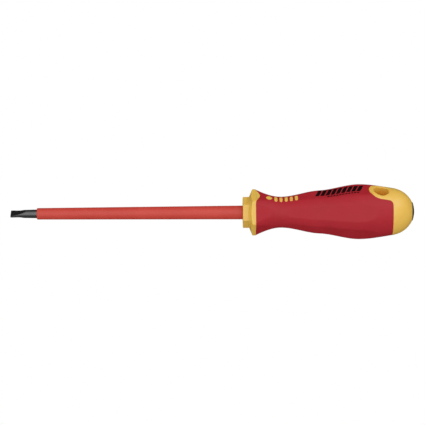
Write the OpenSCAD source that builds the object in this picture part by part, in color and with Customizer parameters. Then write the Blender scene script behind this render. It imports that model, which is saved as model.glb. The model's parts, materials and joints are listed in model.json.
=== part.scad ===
// Insulated slotted screwdriver with a three-component handle.
// The tool lies along X: the tip is at the origin and the handle runs towards +X.
// One of the six handle flats faces +Z, and the opposite one is what the tool rests on.

/* [Blade] */
// Width of the slotted tip
tip_width = 6.5; // [5:0.1:8]
// Thickness of the slotted tip
tip_thickness = 1.2; // [0.8:0.1:1.6]
// Length of the ground faces, from the tip
grind_length = 10.3; // [8:0.1:14]
// Where their hollow starts, from the tip
hollow_start = 3.8; // [2:0.1:5]
// Diameter of the round bar
shaft_d = 5.6; // [4.5:0.1:6.8]
// Blade length, from the tip to the front of the handle
blade_length = 150; // [100:1:180]
// Bare steel in front of the insulation
bare_length = 17; // [12:0.5:25]
// Depth of the tang inside the handle
tang_length = 72; // [50:1:76]
// Width across the pressed wings of the tang
wing_span = 9; // [7:0.5:11]
// Thickness of the pressed wings
wing_thickness = 1.8; // [1.2:0.1:2.5]
// Length of one pair of wings
wing_length = 9; // [6:0.5:10]

/* [Blade insulation] */
// Diameter of the sleeve at its front end
sleeve_front_d = 7.4; // [7:0.1:9]
// Diameter of the sleeve where it enters the handle
sleeve_back_d = 8.9; // [8:0.1:11]
// Length of the sleeve inside the handle
sleeve_seat = 20; // [12:1:30]

/* [Collar and flange] */
// Collar, across its flats
collar_af = 17.5; // [15:0.5:20]
// Length of the collar in front of the flange
collar_length = 3.6; // [2.5:0.1:6]
// Flange, across its flats
flange_af = 26; // [23:0.5:30]
// Length of the flange's sloping front
flange_slope = 2.6; // [1.5:0.1:4]
// Thickness of the flange's rim
rim_thickness = 2.2; // [1.5:0.1:4]
// Length of the pointed index tab behind the rim
tab_length = 2.6; // [1.5:0.1:4]
// Width of the index tab's blunt point
tab_point = 1.6; // [1:0.1:3]

/* [Handle] */
// Handle length, from the collar's front to the butt
handle_length = 110.8; // [92:0.1:135]
// Largest diameter
grip_d = 35.5; // [29.5:0.5:43]
// Diameter of the grip against the flange
mouth_d = 29.4; // [27:0.2:33]
// Diameter at the neck
neck_d = 20; // [19:0.5:24]
// Diameter at the finger swell
swell_d = 27.9; // [24:0.1:29]
// Diameter at the heel, where the domed end starts
heel_d = 30.5; // [26:0.5:36]
// Distance across the flats at the largest diameter
grip_af = 33.36; // [27.8:0.02:41]
// Neck, from the handle's front
neck_x = 24.6; // [20:0.1:30]
// Finger swell, from the handle's front
swell_x = 49.5; // [40:0.5:56]
// Largest diameter, from the butt
bulb_from_butt = 35.6; // [28:0.1:40]
// Heel, from the butt
heel_from_butt = 14.1; // [10:0.1:18]
// Rear edge of the soft grip, from the butt
grip_end_from_butt = 14.4; // [10:0.1:15]
// Thickness of the soft grip
grip_thickness = 2.6; // [1.5:0.1:3]

/* [Inner core] */
// Diameter of the inner core
core_d = 18; // [15:0.5:20]
// Diameter of the inner core inside the neck
core_neck_d = 10.4; // [9.5:0.1:12]
// Diameter of the core's end, which shows as a disc in the butt
nose_d = 12.2; // [8:0.2:14]
// How far the disc stands proud of the domed end
nose_proud = 0.1; // [0.1:0.1:0.6]

/* [Hanging hole] */
// Diameter of the hanging hole
hole_d = 9.8; // [6:0.2:10]
// Centre of the hole, from the butt
hole_from_butt = 21.8; // [18:0.1:24]
// Width of the chamfer round the mouth of the hole
hole_chamfer = 0.8; // [0.5:0.1:1.5]
// Wall between the hole and the inner core
hole_lining = 1.3; // [1:0.1:2]
// Diameter of the hard rim round the hole
boss_d = 15.8; // [14:0.1:18]
// Fillet between that rim and the grip's rear edge
boss_fillet = 2.6; // [1:0.1:3]

/* [Marks] */
// Diameter of the round mark nearest the flange
pip_d = 4; // [2:0.1:4.5]
// Width of one bar of the mark
bar_width = 1.9; // [1:0.1:2.4]
// Length of one bar across the face
bar_length = 5.6; // [4:0.1:8]
// Spacing of the bars
bar_pitch = 3.3; // [2.8:0.1:4]
// Number of bars
bar_count = 5; // [2:1:6]
// Centre of the round mark, from the handle's front
pip_x = 17; // [14:0.5:19]

/* [Hidden] */
$fn = 96;
steel = "#8a8c8e";
insulation_red = "#c85a4a";
grip_red = "#ae313c";
shell_yellow = "#e7c36b";
core_black = "#232224";
big = 200;                                    // larger than any cut
eps = 0.01;

// Positions along X, from the tip
handle_x = blade_length;
grip_x = handle_x + collar_length + flange_slope + rim_thickness;
butt_x = handle_x + handle_length;
dome_x = butt_x - nose_proud;                 // end of the hard shell
grip_end_x = butt_x - grip_end_from_butt;
hole_x = butt_x - hole_from_butt;
core_x = handle_x + sleeve_seat;              // the core starts where the sleeve ends
tang_x = handle_x + tang_length;

// Faces and directions round the axis
faces = 6;
face_step = 360 / faces;
mark_angle = face_step;                       // the marked faces are one step round from +Z
mark_sides = [0, 180];

// Curve between two stations [place, value, slope], as a cubic
function between(a, b, x) =
    let (w = b[0] - a[0], u = (x - a[0]) / w, v = 1 - u)
    a[1] * (1 + 2 * u) * v * v + a[2] * w * u * v * v
    + b[1] * u * u * (3 - 2 * u) - b[2] * w * u * u * v;

// Stations of the round handle: the flare, neck, finger swell, bulb and heel
heel_x = butt_x - heel_from_butt;
bulb_x = butt_x - bulb_from_butt;
flare_slope = -0.47;
swell_slope = 0.045;
heel_slope = -0.15;
flare = [grip_x, mouth_d / 2, flare_slope];
neck = [handle_x + neck_x, neck_d / 2, 0];
swell = [handle_x + swell_x, swell_d / 2, swell_slope];
bulb = [bulb_x, grip_d / 2, 0];
heel = [heel_x, heel_d / 2, heel_slope];

// Radius of the domed end: a quarter ellipse that continues the heel's slope
dome_rise = heel_d / 2 * 0.012;               // the ellipse is a little wider than the heel
dome_r = heel_d / 2 + dome_rise;
dome_turn = acos(heel[1] / dome_r);
dome_a = (dome_x - heel_x) / (1 - sin(dome_turn));
dome_last = 86;                               // the ellipse is cut off square just before its end
function dome_point(t) = [dome_x - dome_a + dome_a * sin(t), dome_r * cos(t)];

function handle_r(x) =
    x < neck[0] ? between(flare, neck, x)
    : x < swell[0] ? between(neck, swell, x)
    : x < bulb[0] ? between(swell, bulb, x)
    : between(bulb, heel, x);

// The flats, as a share of the round handle's radius. They fade out at the neck, and run level
// from just before the bulb to the butt.
flats_level_x = bulb_x - 4;
flat_share = [
    [grip_x, flange_af / mouth_d], [grip_x + 4, 0.937], [grip_x + 9, 0.98],
    [neck[0] - 4, 1.02], [neck[0] + 2.5, 1.02], [neck[0] + 6, 0.967],
    [neck[0] + 15, 0.952], [swell[0], 0.9455], [flats_level_x, grip_af / grip_d]
];
function flat_r(x) =
    x > flats_level_x ? grip_af / 2 : handle_r(x) * lookup(x, flat_share);

function steps(a, b, n) = [for (i = [0:n]) a + (b - a) * i / n];
ring_places = concat(
    steps(grip_x, neck[0], 8), [for (x = steps(neck[0], swell[0], 9)) if (x > neck[0]) x],
    [for (x = steps(swell[0], bulb[0], 9)) if (x > swell[0]) x],
    [for (x = steps(bulb[0], heel[0], 6)) if (x > bulb[0]) x]
);
dome_turns = [for (t = steps(dome_turn, dome_last, 10)) if (t > dome_turn) t];
flat_places = [for (x = ring_places) if (x <= flats_level_x) x];

// Stands a shape that was drawn round Z along X
module along_x() rotate([0, 90, 0]) children();

// Turns +Z into the direction of a marked face
module on_marked_face(side = 0) rotate([side - mark_angle, 0, 0]) children();

// Solid of revolution round X through points [place, radius]
module turned(points) {
    along_x() rotate_extrude() polygon([for (p = points) [p[1], p[0]]]);
}

module round_bar(x1, x2, d) {
    translate([x1, 0, 0]) along_x() cylinder(d = d, h = x2 - x1);
}

module hexagon(x1, x2, across) {
    translate([x1, 0, 0]) along_x() rotate(face_step / 2)
        cylinder(r = across / 2 / cos(face_step / 2), h = x2 - x1, $fn = faces);
}

// Slotted tip: two hollow-ground faces, the width of the tip and the drawn-down bar
waist_d = shaft_d - 0.4;
waist_rise = 0.05;                            // how far the waist widens along the ground faces
waist_lap = 0.2;                              // the tip and the bar run into each other by this much
tip_parallel = tip_width * 0.2;               // the tip keeps its full width up to here
tip_shoulder = tip_width * 0.8;               // and has come down to the bar's width here
tip_round = 0.1;                              // the tip's corners are turned down to this much over its width
flat_taper = 0.33;                            // share of the rise that is a plain taper
function hollow(x) = pow(max(0, x - hollow_start) / (grind_length - hollow_start), 2);
function grind_r(x) = tip_thickness / 2
    + (shaft_d - tip_thickness) / 2 * (flat_taper * x / grind_length + (1 - flat_taper) * hollow(x));
grind_side = concat([[-eps, tip_thickness / 2]],
    [for (x = steps(hollow_start, grind_length, 14)) [x, grind_r(x)]]);
module mirrored_outline(points) {
    polygon(concat(points, [for (i = [len(points) - 1:-1:0]) [points[i][0], -points[i][1]]]));
}

module tip_outline() {
    mirrored_outline([[-eps, tip_width / 2], [tip_parallel, tip_width / 2],
        [tip_shoulder, shaft_d / 2], [grind_length + 1, shaft_d / 2 + eps]]);
}

module slotted_tip() {
    intersection() {
        rotate([-mark_angle, 0, 0]) {
            intersection() {
                rotate([90, 0, 0]) linear_extrude(big, center = true) mirrored_outline(grind_side);
                linear_extrude(big, center = true) tip_outline();
            }
        }
        turned([[0, 0], [0, tip_width / 2 + tip_round], [tip_parallel, tip_width / 2 + tip_round],
            [tip_width, waist_d / 2], [grind_length, waist_d / 2 + waist_rise], [grind_length, 0]]);
    }
}

// Pressed wings that stop the tang from turning or pulling out
wing_ramp = wing_length * 0.2;
module wing_pair(x) {
    translate([x, 0, 0]) linear_extrude(wing_thickness, center = true)
        mirrored_outline([[0, 0], [wing_ramp, wing_span / 2], [wing_length - wing_ramp, wing_span / 2],
            [wing_length, 0]]);
}

first_wing_x = tang_x - 3 * wing_length;
second_wing_x = tang_x - 1.5 * wing_length;
tang_chamfer = 1;

module blade() {
    color(steel) {
        slotted_tip();
        turned([[grind_length - waist_lap, 0], [grind_length - waist_lap, waist_d / 2 + waist_rise / 2],
            [bare_length, shaft_d / 2], [tang_x - tang_chamfer, shaft_d / 2],
            [tang_x, shaft_d / 2 - tang_chamfer], [tang_x, 0]]);
        wing_pair(first_wing_x);
        rotate([90, 0, 0]) wing_pair(second_wing_x);
    }
}

// Moulded sleeve, which tapers towards the tip and seats in the handle
sleeve_edge = 0.6;
module sleeve_body() {
    turned([[bare_length, 0], [bare_length, sleeve_front_d / 2 - sleeve_edge],
        [bare_length + sleeve_edge, sleeve_front_d / 2], [handle_x, sleeve_back_d / 2],
        [core_x, sleeve_back_d / 2], [core_x, 0]]);
}

module blade_insulation() {
    color(insulation_red) difference() {
        sleeve_body();
        round_bar(bare_length - 1, core_x + 1, shaft_d);
    }
}

// Inner core, moulded round the tang. It has an eye for the hanging hole, and its end is the disc.
core_taper = 12;                              // length of the neck's plain part, and of its taper
core_shoulder = 10;                           // the core starts to narrow this far from the butt
nose_length = 6;                              // straight part behind the disc
nose_crown = 1;                               // rise of the disc's domed face
nose_edge = 0.4;                              // radius of the disc's rounded edge
nose_flat_r = nose_d / 2 - nose_edge;
function nose_x(r) = butt_x - nose_crown * pow(r / nose_flat_r, 2);
function nose_edge_point(t) =
    [nose_x(nose_flat_r) - nose_edge * (1 - sin(t)), nose_flat_r + nose_edge * cos(t)];
module core_body() {
    turned(concat([[core_x, 0], [core_x, core_neck_d / 2], [core_x + core_taper, core_neck_d / 2],
        [core_x + 2 * core_taper, core_d / 2], [butt_x - core_shoulder, core_d / 2],
        [butt_x - nose_length, nose_d / 2]],
        [for (t = steps(0, 75, 5)) nose_edge_point(t)],
        [for (r = steps(nose_flat_r, 0, 8)) [nose_x(r), r]]));
}

module core_with_eye() {
    difference() {
        core_body();
        translate([hole_x, 0, 0]) on_marked_face()
            cylinder(d = hole_d + 2 * hole_lining, h = big, center = true);
    }
}

module inner_core() {
    color(core_black) difference() {
        core_with_eye();
        blade();
    }
}

// Outer form of the whole handle behind the flange: round, cut by three pairs of flats
module handle_form() {
    intersection() {
        turned(concat([[grip_x, 0]], [for (x = ring_places) [x, handle_r(x)]],
            [for (t = dome_turns) dome_point(t)], [[dome_x, dome_r * cos(dome_last)], [dome_x, 0]]));
        flats(0);
        flats(face_step);
        flats(2 * face_step);
    }
}

module flats(turn) {
    rotate([turn, 0, 0]) rotate([90, 0, 0]) linear_extrude(big, center = true)
        mirrored_outline(concat([[grip_x - 1, flange_af / 2]], [for (x = flat_places) [x, flat_r(x)]],
            [[flats_level_x, grip_af / 2], [butt_x + 1, grip_af / 2]]));
}

// Hard body under the soft grip
under_end = 1;                                // it ends this far behind the heel, inside the butt
module under_grip() {
    turned(concat([[grip_x - eps, 0], [grip_x - eps, mouth_d / 2 - grip_thickness]],
        [for (x = ring_places) [x, handle_r(x) - grip_thickness]],
        [[heel_x + under_end, heel_d / 2 - grip_thickness], [heel_x + under_end, 0]]));
}

// Outline of the hard rim round the hole, seen along the hole
boss_r = boss_d / 2;
module boss_outline() {
    translate([hole_x, 0]) circle(r = boss_r);
    translate([hole_x, -boss_r]) square([grip_end_x - hole_x + 1, boss_d]);
    for (side = [-1, 1]) difference() {
        translate([grip_end_x - boss_fillet, side > 0 ? boss_r - eps : -boss_r - boss_fillet])
            square([boss_fillet + 1, boss_fillet + eps]);
        translate([grip_end_x - boss_fillet, side * (boss_r + boss_fillet)]) circle(r = boss_fillet);
    }
}

// Outline of the generic mark: a round pip and a row of round-ended bars
first_bar_x = handle_x + pip_x + pip_d / 2 + bar_pitch - bar_width / 2;
module mark_outline() {
    translate([handle_x + pip_x, 0]) circle(d = pip_d);
    for (i = [0:bar_count - 1]) translate([first_bar_x + i * bar_pitch, 0]) {
        square([bar_width, bar_length - bar_width], center = true);
        for (side = [-1, 1]) translate([0, side * (bar_length - bar_width) / 2]) circle(d = bar_width);
    }
}

// Pieces of the outer form that belong to the hard shell: hole rims and marks on both marked faces
module shell_windows() {
    for (side = mark_sides) on_marked_face(side) {
        linear_extrude(big) boss_outline();
        linear_extrude(big) mark_outline();
    }
}

// Pointed tab behind the rim on each marked face, level with the rim's flats
tab_root = 2;                                 // depth of the tab below the hard body's surface
module index_tabs() {
    half_face = flange_af / 2 * tan(face_step / 2);
    tab_floor = mouth_d / 2 - grip_thickness - tab_root;
    for (side = mark_sides) on_marked_face(side)
        translate([0, 0, tab_floor]) linear_extrude(flange_af / 2 - tab_floor)
            mirrored_outline([[grip_x - 1, half_face], [grip_x, half_face],
                [grip_x + tab_length, tab_point / 2]]);
}

// Six-sided flange, whose front is a cone
module flange() {
    slope_x = handle_x + collar_length;
    corner_r = flange_af / 2 / cos(face_step / 2);
    intersection() {
        hexagon(slope_x, grip_x, flange_af);
        turned([[slope_x, 0], [slope_x, collar_af / 2], [slope_x + flange_slope, corner_r],
            [grip_x, corner_r], [grip_x, 0]]);
    }
}

module hanging_hole() {
    mouth_z = handle_r(hole_x);
    translate([hole_x, 0, 0]) on_marked_face() {
        cylinder(d = hole_d, h = big, center = true);
        for (side = [0, 180]) rotate([side, 0, 0])
            translate([0, 0, mouth_z - hole_chamfer])
                cylinder(d1 = hole_d, d2 = hole_d + 4 * hole_chamfer, h = 2 * hole_chamfer);
    }
}

module handle_shell() {
    color(shell_yellow) difference() {
        union() {
            hexagon(handle_x, handle_x + collar_length + flange_slope, collar_af);
            flange();
            index_tabs();
            under_grip();
            intersection() {
                handle_form();
                union() {
                    translate([grip_end_x, -big / 2, -big / 2]) cube(big);
                    shell_windows();
                }
            }
        }
        sleeve_body();
        core_with_eye();
        hanging_hole();
    }
}

module soft_grip() {
    color(grip_red) difference() {
        handle_form();
        translate([grip_end_x, -big / 2, -big / 2]) cube(big);
        under_grip();
        shell_windows();
        index_tabs();
    }
}

blade();
blade_insulation();
inner_core();
handle_shell();
soft_grip();
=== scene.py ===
# Insulated slotted screwdriver: its looks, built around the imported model.
# The tool lies along X with its tip at the origin. A marked face leans 60 degrees from +Z towards +Y.
import json
import math

import bmesh
import bpy
import numpy as np
from mathutils import Matrix, Vector

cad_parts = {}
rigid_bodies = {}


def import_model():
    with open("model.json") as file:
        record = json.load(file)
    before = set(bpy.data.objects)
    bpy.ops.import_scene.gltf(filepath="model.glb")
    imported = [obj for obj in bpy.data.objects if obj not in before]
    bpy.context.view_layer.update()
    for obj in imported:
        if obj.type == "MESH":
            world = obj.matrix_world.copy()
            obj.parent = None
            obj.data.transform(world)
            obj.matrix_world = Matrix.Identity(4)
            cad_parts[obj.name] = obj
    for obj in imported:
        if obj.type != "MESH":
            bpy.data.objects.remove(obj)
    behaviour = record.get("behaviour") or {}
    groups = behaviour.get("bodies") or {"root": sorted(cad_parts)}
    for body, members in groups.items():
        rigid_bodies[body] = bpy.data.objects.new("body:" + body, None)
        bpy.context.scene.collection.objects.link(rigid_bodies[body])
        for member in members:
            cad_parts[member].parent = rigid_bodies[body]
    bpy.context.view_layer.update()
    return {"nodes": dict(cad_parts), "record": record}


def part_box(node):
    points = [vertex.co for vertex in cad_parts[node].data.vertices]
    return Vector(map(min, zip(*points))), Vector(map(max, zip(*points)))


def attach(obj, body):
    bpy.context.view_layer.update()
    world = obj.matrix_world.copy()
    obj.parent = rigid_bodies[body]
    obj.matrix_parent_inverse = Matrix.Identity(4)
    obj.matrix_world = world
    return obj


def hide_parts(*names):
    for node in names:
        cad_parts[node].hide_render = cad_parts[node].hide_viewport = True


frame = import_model()
mm = 0.001
print("frame loaded:", ", ".join(sorted(frame["nodes"])))


def lowX(node):
    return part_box(node)[0].x / mm


def highX(node):
    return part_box(node)[1].x / mm


discProud = 0.1                                          # height of the end disc over the dome
mounts = {mount["name"]: mount for mount in frame["record"]["mounts"]}

# Places along the tool, in millimetres from the tip
place = {
    "tangEnd": highX("blade"),
    "sleeve": lowX("blade_insulation"),
    "sleeveEnd": highX("blade_insulation"),
    "handle": lowX("handle_shell"),
    "grip": lowX("soft_grip"),
    "gripEnd": highX("soft_grip"),
    "dome": highX("inner_core") - discProud,
    "butt": highX("inner_core"),
    "hole": mounts["hanging_hole"]["pos_m"][0] / mm,
}
floorHeight = mounts["rest_flat"]["pos_m"][2]
holeRadius = mounts["hanging_hole"]["dims"]["r_mm"]
faceCount = 6
faceStep = 2 * math.pi / faceCount
flangeFlatHalf = 13.0
markedWay = np.array([0, math.sin(faceStep), math.cos(faceStep)])    # out of a marked face
acrossWay = np.array([0, math.cos(faceStep), -math.sin(faceStep)])   # across that face
markedSides = (1, -1)
mergeWithin, degenerateUnder = 0.002, 0.001              # millimetres


# Helpers for node trees

def addNode(tree, kind, inputs=(), **settings):
    made = tree.nodes.new(kind)
    for name, value in settings.items():
        setattr(made, name, value)
    for key, value in dict(inputs).items():
        if isinstance(value, bpy.types.NodeSocket):
            tree.links.new(value, made.inputs[key])
        else:
            made.inputs[key].default_value = value
    return made


def calc(tree, operation, *values):
    return addNode(tree, "ShaderNodeMath", enumerate(values), operation=operation).outputs[0]


def stretch(tree, value, low, high):
    # 0 at low and 1 at high, and level beyond both
    made = addNode(tree, "ShaderNodeMapRange", {"Value": value, "From Min": low, "From Max": high})
    return made.outputs[0]


def partsOf(tree, value):
    return addNode(tree, "ShaderNodeSeparateXYZ", {0: value}).outputs


def fromParts(tree, parts):
    return addNode(tree, "ShaderNodeCombineXYZ", parts).outputs[0]


def spotIn(tree):
    return addNode(tree, "GeometryNodeInputPosition").outputs[0]


def newGroup(name, kind, inputs, outputs):
    tree = bpy.data.node_groups.new(name, kind)
    for way, sockets in (("INPUT", inputs), ("OUTPUT", outputs)):
        for socketName, socketKind, default in sockets:
            made = tree.interface.new_socket(name=socketName, in_out=way, socket_type=socketKind)
            if default is not None:
                made.default_value = default
    return tree, addNode(tree, "NodeGroupInput").outputs, addNode(tree, "NodeGroupOutput").inputs


number, whole, shape = "NodeSocketFloat", "NodeSocketInt", "NodeSocketGeometry"
vector, paint, target = "NodeSocketVector", "NodeSocketMaterial", "NodeSocketObject"


def grow(name, tree, values):
    # runs a node tree on an empty piece and gives back the plain mesh it makes
    carrier = bpy.data.objects.new(name, bpy.data.meshes.new(name))
    bpy.context.scene.collection.objects.link(carrier)
    modifier = carrier.modifiers.new(tree.name, "NODES")
    modifier.node_group = tree
    for item in tree.interface.items_tree:
        if item.in_out == "INPUT" and item.name in values:
            modifier[item.identifier] = values[item.name]
    bpy.context.view_layer.update()
    mesh = bpy.data.meshes.new_from_object(carrier.evaluated_get(bpy.context.evaluated_depsgraph_get()))
    bpy.data.objects.remove(carrier)
    return mesh


# Helpers for meshes, which work in millimetres

def addPiece(name, mesh, material, sharpFrom=40):
    # merges doubles, turns the faces outwards and shades the mesh smooth up to an angle
    clean = bmesh.new()
    clean.from_mesh(mesh)
    bmesh.ops.remove_doubles(clean, verts=clean.verts, dist=mergeWithin * mm)
    bmesh.ops.dissolve_degenerate(clean, edges=clean.edges, dist=degenerateUnder * mm)
    bmesh.ops.recalc_face_normals(clean, faces=clean.faces)
    clean.to_mesh(mesh)
    clean.free()
    mesh.materials.clear()
    mesh.materials.append(material)
    mesh.polygons.foreach_set("use_smooth", [True] * len(mesh.polygons))
    mesh.set_sharp_from_angle(angle=math.radians(sharpFrom))
    piece = bpy.data.objects.new(name, mesh)
    bpy.context.scene.collection.objects.link(piece)
    return piece


def meshOf(name, points, faces):
    # only the points that a face uses are kept
    used = sorted({corner for face in faces for corner in face})
    index = {old: new for new, old in enumerate(used)}
    mesh = bpy.data.meshes.new(name)
    mesh.from_pydata((np.asarray(points)[used] * mm).tolist(), [],
                     [[index[corner] for corner in face] for face in faces])
    return mesh


def joinParts(parts):
    # parts are pairs of points and faces
    points, faces = [], []
    for partPoints, partFaces in parts:
        faces += [[corner + len(points) for corner in face] for face in partFaces]
        points += [list(point) for point in partPoints]
    return points, faces


def ringFaces(ringCount, perRing, closedPath, capped):
    faces = []
    for ring in range(ringCount if closedPath else ringCount - 1):
        after = (ring + 1) % ringCount
        for corner in range(perRing):
            following = (corner + 1) % perRing
            faces.append([ring * perRing + corner, ring * perRing + following,
                          after * perRing + following, after * perRing + corner])
    if capped:
        faces.append(list(range(perRing)))
        faces.append(list(range((ringCount - 1) * perRing, ringCount * perRing)))
    return faces


def roundedPath(corners, steps=4):
    # corners are [place, radius, reach of the rounding]; each becomes a short curve
    path = []
    for index, (x, r, reach) in enumerate(corners):
        here = np.array([x, r], float)
        ends = []
        for other in (corners[index - 1], corners[(index + 1) % len(corners)]):
            way = np.array(other[:2], float) - here
            length = np.linalg.norm(way)
            ends.append(here + way / length * min(reach, 0.45 * length))
        for step in range(steps + 1):
            u = step / steps
            path.append((1 - u) ** 2 * ends[0] + 2 * u * (1 - u) * here + u * u * ends[1])
    return np.array(path)


def turned(corners, sides=96, steps=4):
    # closed ring of revolution round X; its path goes round the wall, bore and all
    path = roundedPath(corners, steps)
    angles = np.arange(sides) * 2 * math.pi / sides
    points = [[x, r * math.sin(a), r * math.cos(a)] for x, r in path for a in angles]
    return points, ringFaces(len(path), sides, True, False)


def smoothMin(a, b, reach):
    near = np.maximum(reach - np.abs(a - b), 0) / reach
    return np.minimum(a, b) - near ** 3 * reach / 6


def roundUnion(a, b, r):
    # joins two outlines, given as distances, with a fillet
    return np.maximum(r, np.minimum(a, b)) - np.hypot(np.maximum(r - a, 0), np.maximum(r - b, 0))


# Camera

camera = {"middle": 130.45, "lens": 186, "sensor": 36, "distance": 1420, "lean": 2.0, "roll": 0.39,
          "rise": 0.1, "farthest": 10}


def makeCamera(look):
    lean, roll = math.radians(look["lean"]), math.radians(look["roll"])
    back = Vector((0, math.sin(lean), math.cos(lean)))
    level, rise = Vector((1, 0, 0)), Vector((0, math.cos(lean), -math.sin(lean)))
    right = level * math.cos(roll) - rise * math.sin(roll)
    upward = level * math.sin(roll) + rise * math.cos(roll)
    seen = bpy.data.cameras.new("camera")
    seen.lens, seen.sensor_width = look["lens"], look["sensor"]
    seen.clip_end = look["farthest"]
    made = bpy.data.objects.new("camera", seen)
    spot = Vector((look["middle"], 0, 0)) + rise * look["rise"] + back * look["distance"]
    made.matrix_world = Matrix.Translation(spot * mm) @ Matrix((right, upward, back)).transposed().to_4x4()
    bpy.context.scene.collection.objects.link(made)
    bpy.context.scene.camera = made


makeCamera(camera)
print("camera placed")


# Studio

studio = {
    "key": {"way": (0, 0.16, 1), "size": (1500, 1200), "distance": 900, "power": 3.8},
    "side": {"way": (0.62, 0.62, 0.5), "size": (650, 650), "distance": 1000, "power": 1.3},
    "ambientBelow": 0.74, "ambientAbove": 0.8,                         # towards -Y and towards +Y
    "reflected": 0.2,                                                  # share of it that shows in gloss
    "floorSize": 4000, "floorShade": 0.5, "floorReflected": 0.02, "backdrop": 1.0,
}


def addLight(name, look):
    way = Vector(look["way"]).normalized()
    lamp = bpy.data.lights.new(name, "AREA")
    lamp.shape = "RECTANGLE"
    lamp.size, lamp.size_y = (side * mm for side in look["size"])
    lamp.energy = look["power"]
    made = bpy.data.objects.new(name, lamp)
    made.location = Vector((camera["middle"] * mm, 0, 0)) + way * look["distance"] * mm
    made.rotation_euler = way.to_track_quat("Z", "X").to_euler()
    made.visible_camera = False
    bpy.context.scene.collection.objects.link(made)


def whiteForCamera(tree, otherwise, output):
    # what the camera sees straight is plain white
    backdrop = addNode(tree, "ShaderNodeEmission" if output == "Material Output" else "ShaderNodeBackground",
                       {"Color": (1, 1, 1, 1), "Strength": studio["backdrop"]})
    direct = addNode(tree, "ShaderNodeLightPath").outputs["Is Camera Ray"]
    mixed = addNode(tree, "ShaderNodeMixShader", {0: direct, 1: otherwise, 2: backdrop.outputs[0]})
    tree.links.new(mixed.outputs[0], tree.nodes[output].inputs["Surface"])


def makeStudio(look):
    scene = bpy.context.scene
    scene.view_settings.view_transform = "Standard"
    scene.view_settings.look = "None"
    world = bpy.data.worlds.new("studio")
    scene.world = world
    world.use_nodes = True
    way = addNode(world.node_tree, "ShaderNodeTexCoord").outputs["Generated"]
    height = partsOf(world.node_tree, way)["Y"]
    glow = addNode(world.node_tree, "ShaderNodeMapRange", {
        "Value": height, "From Min": -1.0, "From Max": 1.0, "To Min": look["ambientBelow"],
        "To Max": look["ambientAbove"]}).outputs[0]
    gloss = addNode(world.node_tree, "ShaderNodeLightPath").outputs["Is Glossy Ray"]
    share = calc(world.node_tree, "MULTIPLY_ADD", gloss, look["reflected"] - 1, 1.0)
    dim = addNode(world.node_tree, "ShaderNodeBackground", {
        "Color": (1, 1, 1, 1), "Strength": calc(world.node_tree, "MULTIPLY", glow, share)})
    whiteForCamera(world.node_tree, dim.outputs[0], "World Output")
    addLight("key", look["key"])
    addLight("side", look["side"])
    surface = bpy.data.materials.new("studio_floor")
    surface.use_nodes = True
    tree = surface.node_tree
    tree.nodes.remove(tree.nodes["Principled BSDF"])
    gloss = addNode(tree, "ShaderNodeLightPath").outputs["Is Glossy Ray"]
    dimming = look["floorReflected"] - look["floorShade"]
    shade = calc(tree, "MULTIPLY_ADD", gloss, dimming, look["floorShade"])
    grey = addNode(tree, "ShaderNodeBsdfDiffuse", {"Color": shade})
    whiteForCamera(tree, grey.outputs[0], "Material Output")
    half = look["floorSize"] / 2
    mesh = meshOf("floor", [[x * half, y * half, floorHeight / mm] for x, y in
                            ((-1, -1), (1, -1), (1, 1), (-1, 1))], [[0, 1, 2, 3]])
    mesh.materials.append(surface)
    floor = bpy.data.objects.new("floor", mesh)
    bpy.context.scene.collection.objects.link(floor)


makeStudio(studio)
print("studio lit")


# Shared effects for materials

def grainGroup():
    # fine moulded or eroded grain: a height and a mask of its hollows
    tree, given, out = newGroup("moulded_grain", "ShaderNodeTree", [
        ("Vector", vector, None), ("Grain Size", number, 0.3), ("Unevenness", number, 0.5)],
        [("Height", number, None), ("Hollows", number, None)])
    scale = calc(tree, "DIVIDE", 1 / mm, given["Grain Size"])
    fine = addNode(tree, "ShaderNodeTexNoise", {"Vector": given["Vector"], "Scale": scale,
                                                "Detail": 2.0, "Roughness": 0.6})
    cells = addNode(tree, "ShaderNodeTexVoronoi", {"Vector": given["Vector"],
                                                   "Scale": calc(tree, "MULTIPLY", scale, 0.7)},
                    feature="SMOOTH_F1")
    cells.inputs["Smoothness"].default_value = 0.6
    mixed = addNode(tree, "ShaderNodeMix", {"Factor": given["Unevenness"], "A": fine.outputs[0],
                                            "B": cells.outputs["Distance"]})
    tree.links.new(mixed.outputs[0], out["Height"])
    tree.links.new(stretch(tree, mixed.outputs[0], 0.35, 0.65), out["Hollows"])
    return tree


def mottleGroup():
    # slow, cloudy change over a surface, from 0 to 1 round 0.5
    tree, given, out = newGroup("cloudy_change", "ShaderNodeTree", [
        ("Vector", vector, None), ("Cloud Size", number, 14.0), ("Contrast", number, 1.0)],
        [("Cloud", number, None)])
    cloud = addNode(tree, "ShaderNodeTexNoise", {
        "Vector": given["Vector"], "Scale": calc(tree, "DIVIDE", 1 / mm, given["Cloud Size"]),
        "Detail": 3.0, "Roughness": 0.55})
    centred = calc(tree, "SUBTRACT", cloud.outputs[0], 0.5)
    spread = calc(tree, "MULTIPLY_ADD", centred, calc(tree, "MULTIPLY", given["Contrast"], 2.5), 0.5)
    tree.links.new(addNode(tree, "ShaderNodeClamp", {"Value": spread}).outputs[0], out["Cloud"])
    return tree


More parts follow.
